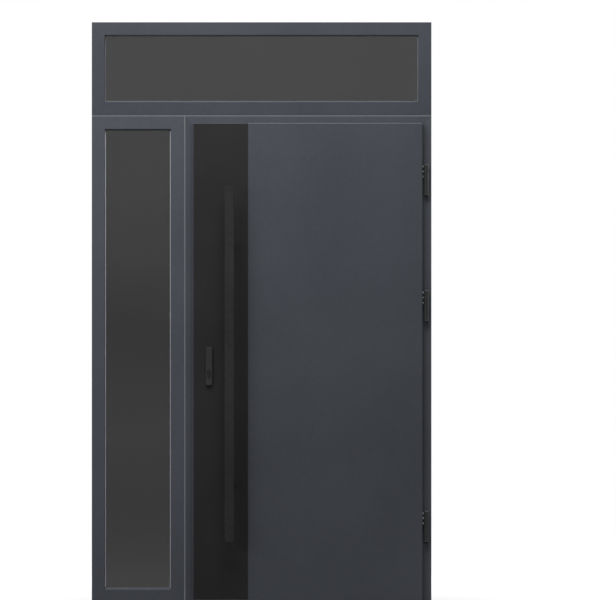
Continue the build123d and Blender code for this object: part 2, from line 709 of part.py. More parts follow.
transom = glazed_unit("transom", LEFT, RIGHT, TRANSOM_BOTTOM, UNIT_HEIGHT, GLAZED_BEVEL)
sidelight = glazed_unit("sidelight", LEFT, SIDELIGHT_RIGHT, 0, DOOR_TOP, SILL_SLOPE)
sidelight["sidelight_left_stile"] -= anchor_holes(LEFT, DOOR_TOP / 2)
for sign in (-1, 1):
    head_anchor = (sign * HEAD_ANCHOR_SPACING / 2, ANCHOR_Y, UNIT_HEIGHT)
    transom["transom_head_rail"] -= rod(head_anchor, (0, 0, -1), GLAZING_REBATE, ANCHOR_DIAMETER)

nodes = {
    **transom,
    **sidelight,
    **coupling_strips(),
    **door_frame(),
    **leaf(),
    **lock_furniture(),
    **pull_handle(),
    **hinges(),
}

os.makedirs("parts", exist_ok=True)
for node_name, shape in nodes.items():
    export_step(shape, f"parts/{node_name}.step")
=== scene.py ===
# %% [markdown]
# # An aluminium exterior door with a sidelight and a transom
#
# The construction comes from CAD: every profile, pane, hinge and lock piece is already in place, in
# metres, as a fixed frame. This lesson gives each of them its finish, adds the small fasteners that
# a door fitter would put in, and lights the door for a straight-on product picture.

# %% Load the frame
import math

import bmesh
import bpy
from mathutils import Matrix, Vector


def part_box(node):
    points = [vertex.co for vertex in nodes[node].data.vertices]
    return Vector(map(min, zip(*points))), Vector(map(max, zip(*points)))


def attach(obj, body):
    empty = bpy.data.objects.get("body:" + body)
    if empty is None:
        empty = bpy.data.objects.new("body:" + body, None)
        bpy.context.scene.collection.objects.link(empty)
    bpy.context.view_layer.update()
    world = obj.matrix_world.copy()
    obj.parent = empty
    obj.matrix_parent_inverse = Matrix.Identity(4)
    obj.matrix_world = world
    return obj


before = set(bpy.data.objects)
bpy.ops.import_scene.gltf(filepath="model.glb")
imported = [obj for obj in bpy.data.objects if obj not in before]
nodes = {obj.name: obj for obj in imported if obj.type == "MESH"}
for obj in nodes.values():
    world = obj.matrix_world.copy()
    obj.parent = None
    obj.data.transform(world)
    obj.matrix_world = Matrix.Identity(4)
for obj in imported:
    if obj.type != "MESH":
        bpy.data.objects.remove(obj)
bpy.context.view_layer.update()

scene = bpy.context.scene

# %% [markdown]
# ## Camera
#
# The photograph has no visible perspective: vertical edges are parallel and no side face shows. A long
# lens far away gives that and still is a normal camera. The picture's scale is known from the size of
# the door, so the width of the view in metres and the lens follow from it.

# %% Place the camera
MM_PER_PIXEL = 4.284
PICTURE_WIDTH, PICTURE_HEIGHT = 616, 600
UNIT_CENTRE_PIXEL = 261.6
SILL_PIXEL = 602.3
DISTANCE = 50.0
SENSOR_WIDTH = 36.0
CLIP_END = 300.0
metres_wide = PICTURE_WIDTH * MM_PER_PIXEL / 1000
camera_x = (PICTURE_WIDTH / 2 - UNIT_CENTRE_PIXEL) * MM_PER_PIXEL / 1000
camera_z = (SILL_PIXEL - PICTURE_HEIGHT / 2) * MM_PER_PIXEL / 1000
front_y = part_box("transom_head_rail")[0][1]

lens = bpy.data.cameras.new("long_lens")
lens.sensor_fit = "HORIZONTAL"
lens.sensor_width = SENSOR_WIDTH
lens.lens = SENSOR_WIDTH * DISTANCE / metres_wide
lens.clip_end = CLIP_END
camera = bpy.data.objects.new("camera", lens)
scene.collection.objects.link(camera)
camera.location = (camera_x, front_y - DISTANCE, camera_z)
camera.rotation_euler = (math.radians(90), 0, 0)
scene.camera = camera
print("lens", round(lens.lens, 1), "mm, camera", tuple(round(v, 3) for v in camera.location))

# %% [markdown]
# ## Tools for materials
#
# A few small helpers are enough. Colours are written as sRGB hex values, the way a paint chart gives
# them, and turned to the linear values that shaders work in. Sizes of patterns are written in
# millimetres: a noise texture of scale s repeats about every 1/s metres, so the scale is worked out
# from the real size. One function adds any shader node with its settings and links. The last two mask
# a part of a piece by its place and lay colours over a paint, for finishes that change along an edge.

# %% Colour, scale and node helpers
def linear(hex_colour):
    """Linear RGBA of an sRGB hex colour."""
    channels = [int(hex_colour[i:i + 2], 16) / 255 for i in (1, 3, 5)]
    values = [c / 12.92 if c <= 0.04045 else ((c + 0.055) / 1.055) ** 2.4 for c in channels]
    return (*values, 1.0)


def per_metre(size_mm):
    """Texture scale for features of this size in millimetres."""
    return 1000 / size_mm


def add(tree, kind, inputs=None, **settings):
    """Add a shader node: settings are its properties, inputs its socket values or links."""
    node = tree.nodes.new(kind)
    for name, value in settings.items():
        setattr(node, name, value)
    for socket, value in (inputs or {}).items():
        if isinstance(value, bpy.types.NodeSocket):
            tree.links.new(value, node.inputs[socket])
        else:
            node.inputs[socket].default_value = value
    return node


def blank_material(name):
    """A new material with an empty node tree."""
    material = bpy.data.materials.new(name)
    material.use_nodes = True
    material.node_tree.nodes.clear()
    return material, material.node_tree


def set_ramp(ramp_node, *stops):
    """Give a colour ramp its stops, each a position and a hex colour, in rising order."""
    elements = ramp_node.color_ramp.elements
    while len(elements) < len(stops):
        elements.new(1.0)
    for element, (position, hex_colour) in zip(elements, stops):
        element.position = position
        element.color = linear(hex_colour)


print("anthracite in linear:", [round(c, 4) for c in linear("#42454b")])

# %% Mask and overlay helpers
FAR = 9.0  # metres, past every piece: a box with no limit on that side


def in_box(tree, place, low, high):
    """A mask that is 1 inside an upright box in object space and 0 outside it."""
    inside = None
    axes = add(tree, "ShaderNodeSeparateXYZ", {"Vector": place}).outputs
    for axis, start, end in zip(axes, low, high):
        limits = {0: axis, 1: (start + end) / 2, 2: (end - start) / 2}
        near = add(tree, "ShaderNodeMath", limits, operation="COMPARE").outputs[0]
        if inside:
            near = add(tree, "ShaderNodeMath", {0: inside, 1: near}, operation="MULTIPLY").outputs[0]
        inside = near
    return inside


def painted_over(tree, paint, layers):
    """Lay hex colours over a paint, each where its mask is 1."""
    factor, below, above, mixed = 0, 6, 7, 2
    for mask, hex_colour in layers:
        inputs = {factor: mask, below: paint, above: linear(hex_colour)}
        paint = add(tree, "ShaderNodeMix", inputs, data_type="RGBA").outputs[mixed]
    return paint


print("boxes without a limit reach", FAR, "m")

# %% [markdown]
# ## Powder-coated aluminium
#
# The frames and the leaf are aluminium, sprayed with dry polyester powder that melts to a
# fine-textured coat when it is baked. To the eye that is a matt, slightly bluish dark grey with a tiny
# orange peel that breaks up reflections. The peel's grains are under a millimetre, too fine to show
# from across the street, so they are drawn coarser. A very faint fleck and a slow cloudiness in the
# colour keep the big leaf from looking like a flat card.
#
# Such a profile has an outer and an inner shell, held apart by two black polyamide bars that stop the
# cold. They show as a black band on the edges of frame and leaf, so the coat takes the band's place
# across the depth and paints it only where the surface faces sideways, up or down.

# %% Powder coat recipe
POLYAMIDE = "#1b1b1c"
CLOUD_MM = 420
GRAIN_SPREAD = 0.06
PEEL_DEPTH = 0.00012
SIDEWAYS = 0.5  # the most that the normal of an edge leans to the front or back


def powder_coat(name, dark_hex, light_hex, roughness, specular, fleck_mm, peel_mm, band=None, patches=()):
    """Fine-textured coat: flecked, cloudy colour, grain in the roughness, orange peel as bump."""
    material, tree = blank_material(name)
    coordinates = add(tree, "ShaderNodeTexCoord").outputs
    place = coordinates["Object"]
    cloud = add(tree, "ShaderNodeTexNoise", {"Vector": place, "Scale": per_metre(CLOUD_MM), "Detail": 3.0})
    fleck = add(tree, "ShaderNodeTexNoise", {"Vector": place, "Scale": per_metre(fleck_mm), "Detail": 2.0})
    shade = add(
        tree,
        "ShaderNodeMath",
        {0: fleck.outputs["Fac"], 1: 0.5, 2: cloud.outputs["Fac"]},
        operation="MULTIPLY_ADD",
    )
    colour = add(tree, "ShaderNodeValToRGB", {"Fac": shade.outputs["Value"]})
    set_ramp(colour, (0.55, dark_hex), (0.95, light_hex))
    layers = []
    if band:
        within = in_box(tree, place, (-FAR, band[0], -FAR), (FAR, band[1], FAR))
        edge = in_box(tree, coordinates["Normal"], (-FAR, -SIDEWAYS, -FAR), (FAR, SIDEWAYS, FAR))
        bar = add(tree, "ShaderNodeMath", {0: within, 1: edge}, operation="MULTIPLY").outputs[0]
        layers.append((bar, POLYAMIDE))
    layers += [(in_box(tree, place, low, high), patch_hex) for low, high, patch_hex in patches]
    grain = add(tree, "ShaderNodeTexNoise", {"Vector": place, "Scale": per_metre(peel_mm), "Detail": 2.0})
    spread = add(
        tree,
        "ShaderNodeMapRange",
        {
            "Value": grain.outputs["Fac"],
            "To Min": roughness - GRAIN_SPREAD,
            "To Max": roughness + GRAIN_SPREAD,
        },
    )
    peel = add(
        tree,
        "ShaderNodeBump",
        {"Height": grain.outputs["Fac"], "Strength": 0.35, "Distance": PEEL_DEPTH},
    )
    coat = add(
        tree,
        "ShaderNodeBsdfPrincipled",
        {
            "Base Color": painted_over(tree, colour.outputs["Color"], layers),
            "Roughness": spread.outputs["Result"],
            "Specular IOR Level": specular,
            "Normal": peel.outputs["Normal"],
        },
    )
    add(tree, "ShaderNodeOutputMaterial", {"Surface": coat.outputs["BSDF"]})
    return material


print("clouds of", CLOUD_MM, "mm in the coats")

# %% [markdown]
# ## Shades of the coat
#
# Each frame has its own pair of colours, a shade lighter or darker to stand for how much light falls
# on that part: painted light and shade. Each also has its own depth at which the polyamide lies. The
# sheet on the leaf's face has no such band.
# Its top edge is painted paler, a painted highlight where the lamp above catches the rounded edge, and
# a line of black sealant closes its edge beside the strip.

# %% Make the powder coats
ANTHRACITE = {"roughness": 0.58, "specular": 0.15, "fleck_mm": 12, "peel_mm": 1.6}
FRAME_BREAK = (-0.012, 0.012)
LEAF_BREAK = (-0.0465, -0.0225)
# each frame's pair of colours is lightened or darkened for the light on that part: painted light and shade
PAINTED_LIGHT_SHADES = (
    ("transom", "#383b41", "#3f4248", FRAME_BREAK),
    ("sidelight", "#41444b", "#484b52", FRAME_BREAK),
    ("head", "#3f4248", "#46494f", FRAME_BREAK),
    ("latch_jamb", "#3b3e44", "#42454b", FRAME_BREAK),
    ("hinge_jamb", "#46494f", "#4d5056", FRAME_BREAK),
    ("leaf", "#3f4248", "#46494f", LEAF_BREAK),
    ("bead", "#404349", "#474a50", None),
)
coats = {
    part: powder_coat(f"aluminium_powder_coated_anthracite_{part}", dark, light, band=band, **ANTHRACITE)
    for part, dark, light, band in PAINTED_LIGHT_SHADES
}
print("made", *(coat.name for coat in coats.values()))

# %% Make the coat of the leaf's sheet
PAINTED_TOP_HIGHLIGHT = "#565961"
SEALANT = "#242424"
EDGE_ROUND = 0.0032
SEALANT_WIDTH = 0.0026
strip_edge_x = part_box("leaf_strip_panel")[1][0]
leaf_top_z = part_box("leaf_face_panel")[1][2]
face_coat = powder_coat(
    "aluminium_sheet_powder_coated_anthracite",
    "#3c3f45",
    "#43464c",
    patches=(
        # painted highlight along the rounded top edge of the sheet, right of the strip
        ((strip_edge_x, -FAR, leaf_top_z - EDGE_ROUND), (FAR, FAR, FAR), PAINTED_TOP_HIGHLIGHT),
        ((strip_edge_x - SEALANT_WIDTH, -FAR, -FAR), (strip_edge_x + SEALANT_WIDTH, FAR, FAR), SEALANT),
    ),
    **ANTHRACITE,
)
print("made", face_coat.name)

# %% [markdown]
# ## Matt black laminate, satin black hardware and moulded rubber
#
# The strip behind the handle is a sheet with a matt black laminate: almost no shine, and a fine
# speckle where the embossed film catches the light. The pull bar, escutcheon, lever and hinges are
# steel with a satin black coat, about as dark as the strip and a shade deeper on the hinges, with faint
# mottling. The cylinder is brass with a black chromate. All are sprayed, rolled or dipped coats, so
# they use the same recipe with other numbers, and so do the moulded rubber rings, whose skin has the
# same fine grain.

# %% Make the black finishes
strip_black = powder_coat("steel_sheet_black_laminate_embossed", "#272727", "#2d2d2d", 0.75, 0.05, 10, 2.4)
bar_black = powder_coat("steel_tube_satin_black_coated", "#222222", "#2d2d2d", 0.5, 0.1, 20, 1.2)
hardware_black = powder_coat("steel_satin_black_coated", "#262626", "#313131", 0.5, 0.15, 20, 1.2)
hinge_black = powder_coat("steel_barrel_satin_black_coated", "#212121", "#2a2a2a", 0.5, 0.15, 20, 1.2)
cylinder_black = powder_coat("brass_black_chromated", "#292929", "#313131", 0.6, 0.05, 20, 1.2)
ring_black = powder_coat("rubber_moulded_black", "#141414", "#1a1a1a", 0.8, 0.02, 20, 1.2)
ring_grey = powder_coat("rubber_moulded_dark_grey", "#282828", "#2e2e2e", 0.8, 0.02, 20, 1.2)
print("made", strip_black.name, bar_black.name, hardware_black.name, hinge_black.name)
print("made", cylinder_black.name, ring_black.name, ring_grey.name)

# %% [markdown]
# ## Bare metals
#
# The coupling strips, the sill and the glazing spacers are anodised aluminium: an extruded surface
# etched to a soft satin, with faint lines along the extrusion. The lock parts are steel with a satin
# nickel plate, black on the hinge pins, and the hinges' caps, foot rings and collars are satin zinc. All
# are metals, so their colour is in the reflection and the default IOR stays. The draw lines are about a
# millimetre apart on the real profile and run along its length, so the noise is stretched along the axis
# of the piece by a Mapping node.

# %% Metal recipe
LINE_SPREAD = 0.07
LINE_DEPTH = 0.00005


def drawn_metal(name, dark_hex, light_hex, roughness, line_mm, stretch):
    """Satin metal with fine lines along one axis: stretch is the texture's scale on X, Y and Z."""
    material, tree = blank_material(name)
    place = add(tree, "ShaderNodeTexCoord").outputs["Object"]
    drawn = add(tree, "ShaderNodeMapping", {"Vector": place, "Scale": stretch})
    lines = add(
        tree,
        "ShaderNodeTexNoise",
        {"Vector": drawn.outputs["Vector"], "Scale": per_metre(line_mm), "Detail": 3.0},
    )
    colour = add(tree, "ShaderNodeValToRGB", {"Fac": lines.outputs["Fac"]})
    set_ramp(colour, (0.35, dark_hex), (0.65, light_hex))
    spread = add(
        tree,
        "ShaderNodeMapRange",
        {
            "Value": lines.outputs["Fac"],
            "To Min": roughness - LINE_SPREAD,
            "To Max": roughness + LINE_SPREAD,
        },
    )
    relief = add(
        tree,
        "ShaderNodeBump",
        {"Height": lines.outputs["Fac"], "Strength": 0.2, "Distance": LINE_DEPTH},
    )
    metal = add(
        tree,
        "ShaderNodeBsdfPrincipled",
        {
            "Base Color": colour.outputs["Color"],
            "Metallic": 1.0,
            "Roughness": spread.outputs["Result"],
            "Normal": relief.outputs["Normal"],
        },
    )
    add(tree, "ShaderNodeOutputMaterial", {"Surface": metal.outputs["BSDF"]})
    return material


print("draw lines", LINE_DEPTH * 1000, "mm deep")

# %% Make the metals
ALONG_X = (0.02, 1.0, 1.0)
ALONG_Z = (1.0, 1.0, 0.02)
EVEN = (1.0, 1.0, 1.0)
strip_metal_x = drawn_metal("aluminium_anodised_grey_along_x", "#626367", "#6c6d71", 0.75, 1.5, ALONG_X)
strip_metal_z = drawn_metal("aluminium_anodised_grey_along_z", "#646569", "#6e6f73", 0.75, 1.5, ALONG_Z)
sill_metal = drawn_metal("aluminium_anodised_natural", "#9a9ca0", "#a6a8ab", 0.4, 1.5, ALONG_X)
nickel = drawn_metal("steel_nickel_plated_satin", "#a5a39e", "#b3b1ac", 0.3, 0.8, EVEN)
black_nickel = drawn_metal("steel_black_nickel_plated", "#2b2b2b", "#353535", 0.5, 0.8, EVEN)
# paler than the barrel: partly a painted highlight on the lit tops of the caps
cap_zinc = drawn_metal("zinc_die_cast_satin_grey", "#4b4c4f", "#555659", 0.5, 2.0, EVEN)
foot_zinc = drawn_metal("zinc_die_cast_satin_dark", "#393a3d", "#404144", 0.5, 2.0, EVEN)
# pale: partly a painted highlight of the lit stud tops
collar_zinc = drawn_metal("steel_zinc_plated_satin", "#84858a", "#8f9095", 0.5, 2.0, EVEN)
print("made", strip_metal_x.name, strip_metal_z.name, sill_metal.name, nickel.name)
print("made", black_nickel.name, cap_zinc.name, foot_zinc.name, collar_zinc.name)

# %% [markdown]
# ## Smoked float glass
#
# Both lights have sealed double glazing of grey-tinted float glass: the panes are clear and smooth, but
# so dark that the house behind them doesn't show. Light is filtered by the tint at every pane and
# mirrored a little by every face. A pane that hangs outdoors carries a thin, uneven film of dust, which
# makes the grey a little cloudy over half a metre or so.
#
# The tall pane of the sidelight also mirrors the street: a pale sky over haze, a dark hedge at waist
# height, and a path with a darker verge below. Seen through a long lens, a flat pane mirrors only one
# small spot of a studio, so the bands are put into the tint instead, by height, and the cloudy film
# makes their edges uneven.

# %% Glass recipe
GLASS_IOR = 1.48
WAVER = 0.12


def smoked_glass(name, cloud_mm, stops, pane=None):
    """Grey-tinted float glass: its tint runs through the stops with the clouds, or up a pane's height."""
    material, tree = blank_material(name)
    place = add(tree, "ShaderNodeTexCoord").outputs["Object"]
    cloud = add(tree, "ShaderNodeTexNoise", {"Vector": place, "Scale": per_metre(cloud_mm), "Detail": 2.0})
    shade = cloud.outputs["Fac"]
    if pane:
        height = add(tree, "ShaderNodeSeparateXYZ", {"Vector": place}).outputs["Z"]
        along = add(
            tree,
            "ShaderNodeMapRange",
            {
                "Value": height,
                "From Min": pane[0],
                "From Max": pane[1],
                "To Min": -WAVER / 2,
                "To Max": 1 - WAVER / 2,
            },
        ).outputs["Result"]
        wavering = {0: shade, 1: WAVER, 2: along}
        shade = add(tree, "ShaderNodeMath", wavering, operation="MULTIPLY_ADD").outputs[0]
    tint = add(tree, "ShaderNodeValToRGB", {"Fac": shade})
    set_ramp(tint, *stops)
    glass = add(
        tree,
        "ShaderNodeBsdfPrincipled",
        {
            "Base Color": tint.outputs["Color"],
            "Roughness": 0.0,
            "IOR": GLASS_IOR,
            "Transmission Weight": 1.0,
        },
    )
    add(tree, "ShaderNodeOutputMaterial", {"Surface": glass.outputs["BSDF"]})
    return material


print("glass with an IOR of", GLASS_IOR)

# %% Make the glass
transom_glass = smoked_glass("glass_float_smoked_grey_transom", 700, ((0.3, "#6b6b6b"), (0.7, "#737373")))
PATH, VERGE, HEDGE, HAZE, SKY = "#4f4f4f", "#3a3a3a", "#1e1e1e", "#585858", "#656565"
street = ((0.05, PATH), (0.19, VERGE), (0.35, PATH), (0.57, HEDGE), (0.71, HAZE), (0.88, SKY))
side_low, side_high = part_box("sidelight_glass")
side_glass = smoked_glass("glass_float_smoked_grey_sidelight", 300, street, (side_low[2], side_high[2]))
print("made", transom_glass.name, "and", side_glass.name)

# %% [markdown]
# ## Rubber, plastic and foam
#
# The panes sit between grey rubber gaskets, which show as thin pale lines round the glass. The
# sidelight's gaskets are coloured paler than the transom's to match how brightly each is lit, which is
# painted light. Their left runs are paler still, a painted highlight against the shade of the left lamp,
# and the top run of the sidelight is near black, a painted shadow of the profile above it. The door's own
# seals are black rubber. Rubber is matt, with a fine dusty bloom that lightens it unevenly.
# Plugs over the wall anchors are moulded nylon in the frame's colour. The insulating core is
# closed-cell foam, and is hidden by the sheets.

# %% Rubber recipe
SKIN_DEPTH = 0.0002


def matt_rubber(name, dark_hex, light_hex, roughness, bloom_mm, patches=()):
    """Matt extrusion or moulding: a faint dusty bloom in the colour and a fine skin."""
    material, tree = blank_material(name)
    place = add(tree, "ShaderNodeTexCoord").outputs["Object"]
    bloom = add(tree, "ShaderNodeTexNoise", {"Vector": place, "Scale": per_metre(bloom_mm), "Detail": 4.0})
    colour = add(tree, "ShaderNodeValToRGB", {"Fac": bloom.outputs["Fac"]})
    set_ramp(colour, (0.35, dark_hex), (0.7, light_hex))
    layers = [(in_box(tree, place, low, high), patch_hex) for low, high, patch_hex in patches]
    skin = add(
        tree,
        "ShaderNodeBump",
        {"Height": bloom.outputs["Fac"], "Strength": 0.25, "Distance": SKIN_DEPTH},
    )
    rubber = add(
        tree,
        "ShaderNodeBsdfPrincipled",
        {
            "Base Color": painted_over(tree, colour.outputs["Color"], layers),
            "Roughness": roughness,
            "Specular IOR Level": 0.3,
            "Normal": skin.outputs["Normal"],
        },
    )
    add(tree, "ShaderNodeOutputMaterial", {"Surface": rubber.outputs["BSDF"]})
    return material


print("rubber skin", SKIN_DEPTH * 1000, "mm deep")

# %% Make rubber, plastic and foam
# colour of the painted shadow along the top run of the sidelight's gaskets
PAINTED_TOP_SHADE = "#1c1c1d"
GASKET_REACH = 0.017
transom_left_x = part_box("transom_glass")[0][0] + GASKET_REACH
# the transom's gaskets are coloured darker than the sidelight's for the light on them: painted shade
gasket_grey = matt_rubber(
    "rubber_extruded_grey", "#5c5e62", "#65676b", 0.75, 6,
    # left run painted paler: painted highlight against the left lamp's shade
    patches=(((-FAR, -FAR, -FAR), (transom_left_x, FAR, FAR), "#707276"),),
)
side_left_x, side_top_z = side_low[0] + GASKET_REACH, side_high[2] - GASKET_REACH
gasket_pale = matt_rubber(
    "rubber_extruded_light_grey", "#a4a6aa", "#aeb0b4", 0.75, 6,
    patches=(
        # left run painted paler: painted highlight against the left lamp's shade
        ((-FAR, -FAR, -FAR), (side_left_x, FAR, FAR), "#c4c6ca"),
        # top run painted near black: painted shadow under the profile
        ((-FAR, -FAR, side_top_z), (FAR, FAR, FAR), PAINTED_TOP_SHADE),
    ),
)
seal_black = matt_rubber("rubber_extruded_black", "#161616", "#1e1e1e", 0.7, 6)
plug_nylon = matt_rubber("nylon_moulded_dark_grey", "#3a3c41", "#404248", 0.55, 4)
core_foam = matt_rubber("foam_rigid_closed_cell", "#cfc39a", "#d9cfab", 0.9, 3)
print("made", gasket_grey.name, gasket_pale.name, seal_black.name, plug_nylon.name, core_foam.name)

# %% [markdown]
# ## Finish every CAD piece
#
# Each CAD piece keeps its shape and gets one finish. A table by name keeps the choice readable: the
# first words that match a piece's name decide.

# %% Give the finishes to the CAD pieces
FINISHES = (
    (("transom_glass",), transom_glass),
    (("sidelight_glass",), side_glass),
    (("spacer", "threshold"), sill_metal),
    (("coupling_strip_horizontal",), strip_metal_x),
    (("coupling_strip_vertical",), strip_metal_z),
    (("sidelight_gaskets",), gasket_pale),
    (("transom_gaskets",), gasket_grey),
    (("seal",), seal_black),
    (("leaf_core",), core_foam),
    (("leaf_strip_panel",), strip_black),
    (("strike", "faceplate", "bolts"), nickel),
    (("lock_cylinder",), cylinder_black),
    (("pins",), black_nickel),
    (("pull_",), bar_black),
    (("_halves",), hinge_black),
    (("escutcheon", "backplate", "lever", "plugs"), hardware_black),
    (("beads",), coats["bead"]),
    (("leaf_face_panel",), face_coat),
    (("leaf_",), coats["leaf"]),
    (("transom_",), coats["transom"]),
    (("sidelight_",), coats["sidelight"]),
    (("latch_jamb",), coats["latch_jamb"]),
    (("hinge_jamb",), coats["hinge_jamb"]),
    (("door_frame_head",), coats["head"]),
)


def finish_for(node_name):
    """The finish of a CAD piece, by the first words that its name holds."""
    return next(material for words, material in FINISHES if any(word in node_name for word in words))


for node_name, piece in nodes.items():
    piece.data.materials.clear()
    piece.data.materials.append(finish_for(node_name))
print("finished", len(nodes), "CAD pieces")

# %% [markdown]
# ## Tools for small pieces
#
# Fasteners are round or star-shaped, and each kind is made once at the origin, standing on Z = 0. It
# is then copied to every place with a matrix that turns its Z axis to the way it faces, so that all of
# one kind are one mesh and the object itself stays at the origin.

# %% Piece helpers
SHARP_ANGLE = math.radians(35)
MERGE_DISTANCE = 1e-6


def facing(place, direction):
    """Matrix that stands a piece on a place, with its Z axis along a direction."""
    turn = Vector(direction).to_track_quat("Z", "Y").to_matrix().to_4x4()
    return Matrix.Translation(place) @ turn


def copy_to(form, matrices):
    """Replace the geometry of a bmesh by a copy at each matrix."""
    original = form.verts[:] + form.edges[:] + form.faces[:]
    first_verts = form.verts[:]
    for matrix in matrices:
        made = bmesh.ops.duplicate(form, geom=original)["geom"]
        corners = [v for v in made if isinstance(v, bmesh.types.BMVert)]
        bmesh.ops.transform(form, matrix=matrix, verts=corners)
    bmesh.ops.delete(form, geom=first_verts, context="VERTS")


def as_piece(name, form, material, body):
    """Turn a bmesh into a finished piece that rides on a body."""
    bmesh.ops.recalc_face_normals(form, faces=form.faces)
    mesh = bpy.data.meshes.new(name)
    form.to_mesh(mesh)
    form.free()
    mesh.materials.append(material)
    mesh.shade_smooth()
    mesh.set_sharp_from_angle(angle=SHARP_ANGLE)
    piece = bpy.data.objects.new(name, mesh)
    scene.collection.objects.link(piece)
    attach(piece, body)
    print(name, len(mesh.polygons), "faces on", body)
    return piece


def turned(profile, steps):
    """Spin a half profile of (radius, height) points round Z into a closed form."""
    form = bmesh.new()
    points = [form.verts.new((radius, 0, height)) for radius, height in profile]
    edges = [form.edges.new(pair) for pair in zip(points, points[1:])]
    bmesh.ops.spin(
        form,
        geom=points + edges,
        cent=(0, 0, 0),
        axis=(0, 0, 1),
        angle=math.tau,
        steps=steps,
        use_merge=True,
    )
    bmesh.ops.remove_doubles(form, verts=form.verts, dist=MERGE_DISTANCE)
    return form


print("edges over", round(math.degrees(SHARP_ANGLE)), "degrees stay sharp")

# %% [markdown]
# ## Screws of the lock edge, the strikes, the sill and the backplate
#
# All are flat-headed screws with a star recess. A circle is inset, every second corner of the inset is
# pulled in, which makes the star, and the star is pressed down. The rim is then drawn down to the seat
# and softened. The inset is told to count open edges, because a lone circle has no others. Margins and
# depths are shares of the head's radius and height.

# %% Screw head
HEAD_HEIGHT = 0.0008
STAR_MARGIN = 0.45
STAR_WAIST = 0.68
STAR_DEPTH = 0.6
RIM_ROUND = 0.3


def star_screw(radius):
    """Head of a screw with a star recess, standing on Z = 0."""
    form = bmesh.new()
    bmesh.ops.create_circle(form, cap_ends=True, segments=12, radius=radius)
    bmesh.ops.translate(form, verts=form.verts, vec=(0, 0, HEAD_HEIGHT))
    top = form.faces[:][0]
    bmesh.ops.inset_region(
        form, faces=[top], thickness=radius * STAR_MARGIN, use_boundary=True, use_even_offset=True
    )
    rim = [e for e in form.edges if e.is_boundary]
    bmesh.ops.scale(form, verts=list(top.verts)[::2], vec=(STAR_WAIST, STAR_WAIST, 1))
    pressed = bmesh.ops.extrude_discrete_faces(form, faces=[top])["faces"]
    bmesh.ops.translate(form, verts=pressed[0].verts, vec=(0, 0, -HEAD_HEIGHT * STAR_DEPTH))
    skirt = bmesh.ops.extrude_edge_only(form, edges=rim)["geom"]
    low = [v for v in skirt if isinstance(v, bmesh.types.BMVert)]
    bmesh.ops.translate(form, verts=low, vec=(0, 0, -HEAD_HEIGHT))
    bmesh.ops.holes_fill(form, edges=[e for e in form.edges if e.is_boundary])
    bmesh.ops.bevel(
        form,
        geom=rim,
        offset=HEAD_HEIGHT * RIM_ROUND,
        segments=2,
        profile=0.5,
        affect="EDGES",
        material=-1,
    )
    return form


print("screw heads", HEAD_HEIGHT * 1000, "mm high")

# %% Screws of the lock edge and the strikes
LOCK_SCREW_RADIUS = 0.0045
EDGE_SCREW_HEIGHTS = (0.2, 0.45, 0.7, 0.9745, 1.3, 1.55, 1.86)
STRIKE_SCREW_HEIGHTS = (0.290, 0.370, 0.895, 1.118, 1.680, 1.760)
edge_low, edge_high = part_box("lock_faceplate")
edge_x, edge_y = edge_low.x, (edge_low.y + edge_high.y) / 2
form = star_screw(LOCK_SCREW_RADIUS)
copy_to(form, [facing((edge_x, edge_y, z), (-1, 0, 0)) for z in EDGE_SCREW_HEIGHTS])
as_piece("lock_edge_screws", form, nickel, "leaf")

strike_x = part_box("strike_plates")[1][0]
form = star_screw(LOCK_SCREW_RADIUS)
copy_to(form, [facing((strike_x, edge_y, z), (1, 0, 0)) for z in STRIKE_SCREW_HEIGHTS])
as_piece("strike_screws", form, nickel, "frame")

# %% Screws of the sill and the inside backplate
SILL_SCREW_RADIUS = 0.0042
SILL_SCREW_PLACES = (-0.2, 0.06, 0.33, 0.6)
SILL_SCREW_INSET = 0.006
sill_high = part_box("threshold")[1]
sill_y = sill_high.y - SILL_SCREW_INSET
form = star_screw(SILL_SCREW_RADIUS)
copy_to(form, [facing((x, sill_y, sill_high.z), (0, 0, 1)) for x in SILL_SCREW_PLACES])
as_piece("sill_screws", form, nickel, "frame")

BACK_SCREW_RADIUS = 0.004
BACK_SCREW_INSET = 0.015
back_low, back_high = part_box("inside_backplate")
back_x = (back_low.x + back_high.x) / 2
heights = (back_low.z + BACK_SCREW_INSET, back_high.z - BACK_SCREW_INSET)
form = star_screw(BACK_SCREW_RADIUS)
copy_to(form, [facing((back_x, back_high.y, z), (0, 1, 0)) for z in heights])
as_piece("backplate_screws", form, hardware_black, "leaf")

# %% [markdown]
# ## Hinge caps, foot rings, bushes and stud collars
#
# A barrel hinge is closed by a cast cap on top and a thin ring at its foot, and stands on a black bush.
# The cap is a paler zinc than the barrel, partly a painted highlight on its lit top, and the black bush
# is partly a painted shadow under the barrel. The hinge's studs have a pale collar where they meet the
# edge of the leaf, partly a painted highlight: they are the small bright spots of the lit stud tops
# beside each barrel. Caps, rings and bushes are turned from a half profile of radius and height. The
# collars are six-sided nuts with softened ends.

# %% Ends of the hinge barrels
HINGE_RADIUS = 0.009
HINGE_LENGTH = 0.133
HINGE_CENTRES = (0.326, 1.271, 1.811)
leaf_half_low, leaf_half_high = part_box("hinge_leaf_halves")
axis_x = leaf_half_high.x - HINGE_RADIUS
axis_y = leaf_half_low.y + HINGE_RADIUS
barrel_tops = [(axis_x, axis_y, z + HINGE_LENGTH / 2) for z in HINGE_CENTRES]
barrel_feet = [(axis_x, axis_y, z - HINGE_LENGTH / 2) for z in HINGE_CENTRES]
print("hinge axis at x", round(axis_x, 4), "y", round(axis_y, 4))

